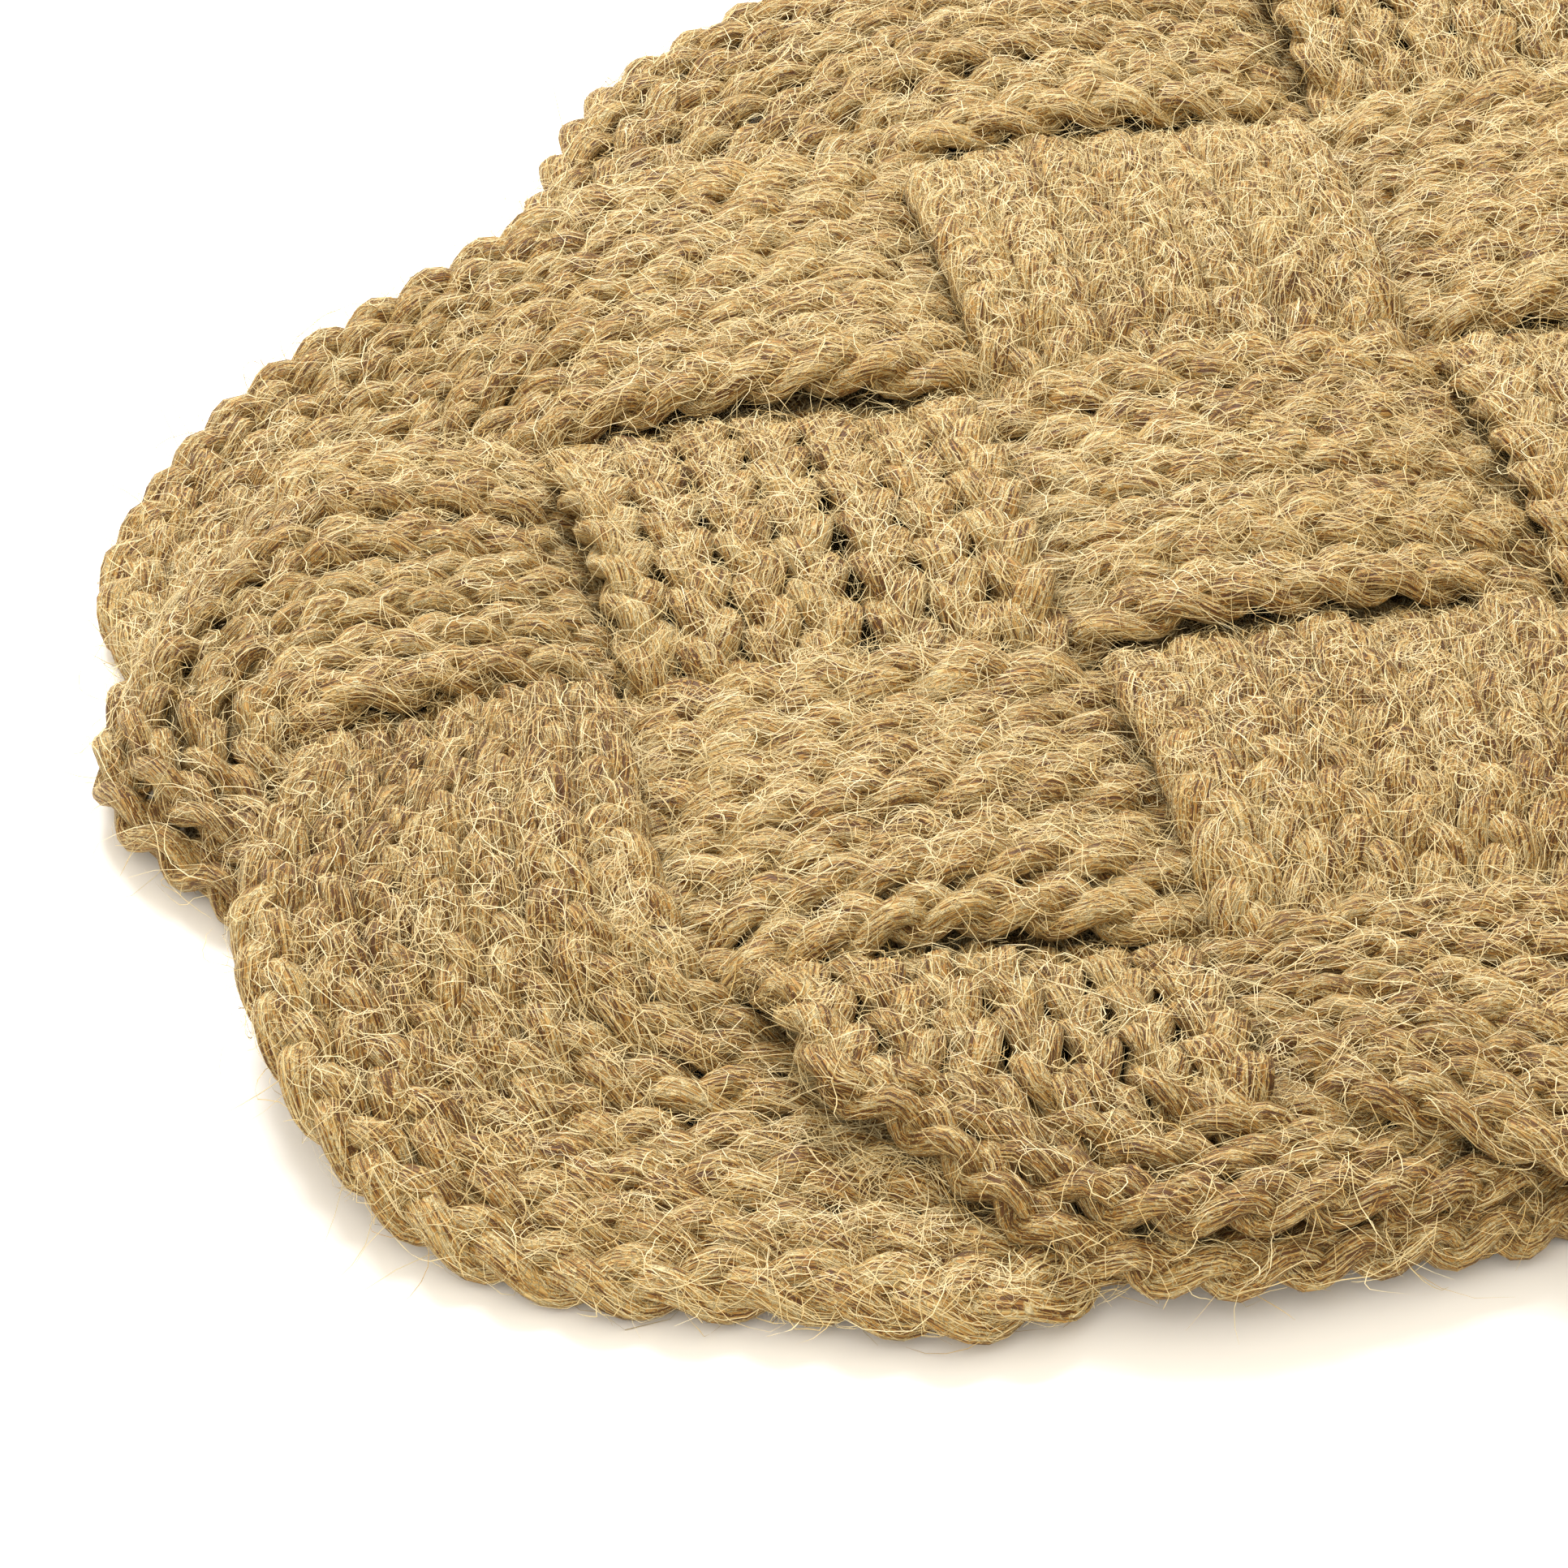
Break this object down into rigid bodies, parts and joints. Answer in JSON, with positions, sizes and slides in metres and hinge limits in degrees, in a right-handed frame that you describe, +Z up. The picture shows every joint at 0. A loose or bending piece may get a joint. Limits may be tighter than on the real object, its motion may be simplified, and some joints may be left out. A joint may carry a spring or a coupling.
{
  "type": "door mat",
  "caption": "Thick plaited door mat: a band of braided natural-fibre cords woven over and under itself into a flat rectangular knot with rounded lobes round the edge.",
  "frame": {"origin": "centre of the mat's outline, on the plane that its underside rests on", "axes": "+X along the mat's long side, +Y along its short side, +Z up out of the walking face"},
  "size_m": [0.8044, 0.4876, 0.03],
  "materials": {
    "braid": "loose three-strand braid of golden tan natural fibre, slightly glossy fibres, many stray hairs",
    "twine": "hard twisted natural-fibre twine, dull"
  },
  "bodies": {
    "root": {"braided_cord_1": "braid", "braided_cord_2": "braid", "braided_cord_3": "braid", "braided_cord_4": "braid", "braided_cord_5": "braid", "braided_cord_6": "braid", "braided_cord_7": "braid", "end_binding_1": "twine", "end_binding_2": "twine", "end_binding_3": "twine", "end_binding_4": "twine", "end_binding_5": "twine", "end_binding_6": "twine", "end_binding_7": "twine", "lobe_stitch_01": "twine", "lobe_stitch_02": "twine", "lobe_stitch_03": "twine", "lobe_stitch_04": "twine", "lobe_stitch_05": "twine", "lobe_stitch_06": "twine", "lobe_stitch_07": "twine", "lobe_stitch_08": "twine", "lobe_stitch_09": "twine", "lobe_stitch_10": "twine", "lobe_stitch_11": "twine", "lobe_stitch_12": "twine"}
  },
  "joints": []
}
